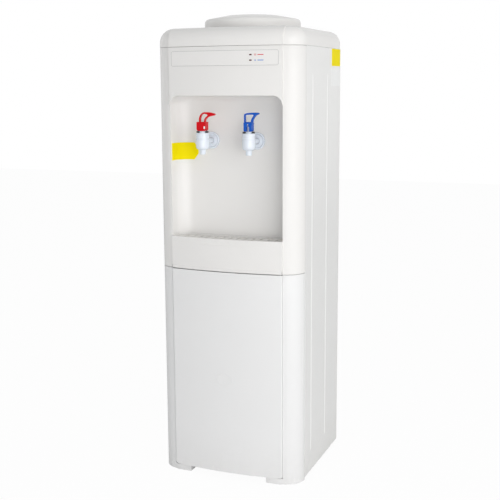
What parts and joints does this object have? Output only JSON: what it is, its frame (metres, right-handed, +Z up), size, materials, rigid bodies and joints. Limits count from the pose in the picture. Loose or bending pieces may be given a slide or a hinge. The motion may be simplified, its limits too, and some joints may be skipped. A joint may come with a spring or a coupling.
{
  "type": "water cooler",
  "caption": "Floor-standing hot and cold water cooler with a bottle seat, two push taps, a drip tray and a storage cabinet.",
  "frame": {"origin": "on the floor under the middle of the body", "axes": "+Z up, -Y out of the front, +X to the viewer's right"},
  "size_m": [0.312, 0.29, 0.952],
  "materials": {
    "case_white": "gloss warm white moulding",
    "lower_white": "gloss cool white moulding",
    "painted_sheet": "semi-gloss white powder coat",
    "tap_white": "gloss bluish white plastic",
    "hot_red": "gloss red plastic",
    "cold_blue": "gloss blue plastic",
    "sheet_steel": "galvanised sheet",
    "stainless": "brushed stainless steel",
    "dark_plastic": "matte black plastic",
    "black_paint": "satin black paint",
    "lamp_dark": "smoked lamp lens",
    "rubber": "matte black rubber",
    "liner_white": "satin white plastic",
    "hose": "translucent silicone",
    "tray_grey": "satin light grey plastic",
    "copper": "bright copper tube",
    "foam": "moulded foam",
    "strip": "clear-coated pale strip"
  },
  "bodies": {
    "root": {"back_panel": "sheet_steel", "base_pan": "sheet_steel", "bottle_seat": "case_white", "cabinet_liner": "liner_white", "cold_hose": "hose", "cold_tank": "stainless", "cold_tap_body": "tap_white", "cold_tap_cap": "tap_white", "cold_tap_flange": "tap_white", "compressor": "black_paint", "condenser_coil": "black_paint", "cool_lamp": "lamp_dark", "cord_inlet": "rubber", "drain_fitting": "case_white", "drain_hose": "hose", "evaporator_coil": "copper", "feed_hose": "hose", "feed_probe": "liner_white", "heat_lamp": "lamp_dark", "hot_hose": "hose", "hot_tank": "stainless", "hot_tank_jacket": "foam", "hot_tap_body": "tap_white", "hot_tap_cap": "tap_white", "hot_tap_flange": "tap_white", "indicator_strip": "strip", "left_side_panel": "painted_sheet", "liquid_line": "copper", "lower_frame": "lower_white", "lower_hinge_pin": "stainless", "lower_shelf": "sheet_steel", "magnet_catch": "dark_plastic", "right_side_panel": "painted_sheet", "starter_box": "dark_plastic", "switch_plate": "dark_plastic", "tank_baffle": "liner_white", "tank_insulation": "foam", "tank_lid": "liner_white", "thermostat": "dark_plastic", "top_cover": "case_white", "upper_front": "case_white", "upper_hinge_pin": "stainless", "upper_shelf": "sheet_steel"},
    "door": {"door_panel": "lower_white", "door_liner": "liner_white", "strike_plate": "stainless"},
    "tray": {"drip_tray": "tray_grey"},
    "grille": {"drip_grille": "tray_grey"},
    "drain_cap": {"drain_cap": "dark_plastic"},
    "heat_rocker": {"heat_switch": "hot_red"},
    "cool_rocker": {"cool_switch": "cold_blue"},
    "hot_swivel": {"hot_thrust_ring": "tap_white"},
    "hot_stem": {"hot_stem": "tap_white", "hot_lever_pin": "stainless"},
    "hot_lever": {"hot_lever": "hot_red"},
    "hot_sleeve": {"hot_lock_sleeve": "hot_red"},
    "cold_swivel": {"cold_thrust_ring": "tap_white"},
    "cold_stem": {"cold_stem": "tap_white", "cold_lever_pin": "stainless"},
    "cold_lever": {"cold_lever": "cold_blue"}
  },
  "joints": [
    {"name": "door_hinge", "type": "hinge", "parent": "root", "child": "door", "pos_m": [0.1147, -0.1328, 0.22], "axis": [0, 0, 1], "range_deg": [0, 110]},
    {"name": "tray_lift", "type": "slide", "parent": "root", "child": "tray", "axis": [0, 0, 1], "range_m": [0, 0.045]},
    {"name": "grille_lift", "type": "slide", "parent": "tray", "child": "grille", "axis": [0, 0, 1], "range_m": [0, 0.03]},
    {"name": "drain_cap_pull", "type": "slide", "parent": "root", "child": "drain_cap", "axis": [0, 1, 0], "range_m": [0, 0.03]},
    {"name": "heat_rock", "type": "hinge", "parent": "root", "child": "heat_rocker", "pos_m": [0.075, 0.12, 0.846], "axis": [1, 0, 0], "range_deg": [0, 18]},
    {"name": "cool_rock", "type": "hinge", "parent": "root", "child": "cool_rocker", "pos_m": [0.045, 0.12, 0.846], "axis": [1, 0, 0], "range_deg": [0, 18]},
    {"name": "hot_turn", "type": "hinge", "parent": "root", "child": "hot_swivel", "pos_m": [-0.0495, -0.132, 0.721], "axis": [0, 0, 1], "continuous": true},
    {"name": "hot_stem_lift", "type": "slide", "parent": "hot_swivel", "child": "hot_stem", "axis": [0, 0, 1], "range_m": [0, 0.0024]},
    {"name": "hot_press", "type": "hinge", "parent": "hot_stem", "child": "hot_lever", "pos_m": [-0.0495, -0.132, 0.7346], "axis": [0, 1, 0], "range_deg": [0, 20], "stiffness_Nm_per_rad": 0.3},
    {"name": "cold_turn", "type": "hinge", "parent": "root", "child": "cold_swivel", "pos_m": [0.0495, -0.132, 0.721], "axis": [0, 0, 1], "continuous": true},
    {"name": "cold_stem_lift", "type": "slide", "parent": "cold_swivel", "child": "cold_stem", "axis": [0, 0, 1], "range_m": [0, 0.0024]},
    {"name": "cold_press", "type": "hinge", "parent": "cold_stem", "child": "cold_lever", "pos_m": [0.0495, -0.132, 0.7346], "axis": [0, 1, 0], "range_deg": [0, 20], "stiffness_Nm_per_rad": 0.3},
    {"name": "sleeve_lift", "type": "slide", "parent": "hot_lever", "child": "hot_sleeve", "axis": [0, 0, 1], "range_m": [0, 0.004]}
  ],
  "couplings": [
    {"joint": "hot_stem_lift", "follows": "hot_press", "m_per_rad": 0.0065},
    {"joint": "cold_stem_lift", "follows": "cold_press", "m_per_rad": 0.0065}
  ]
}
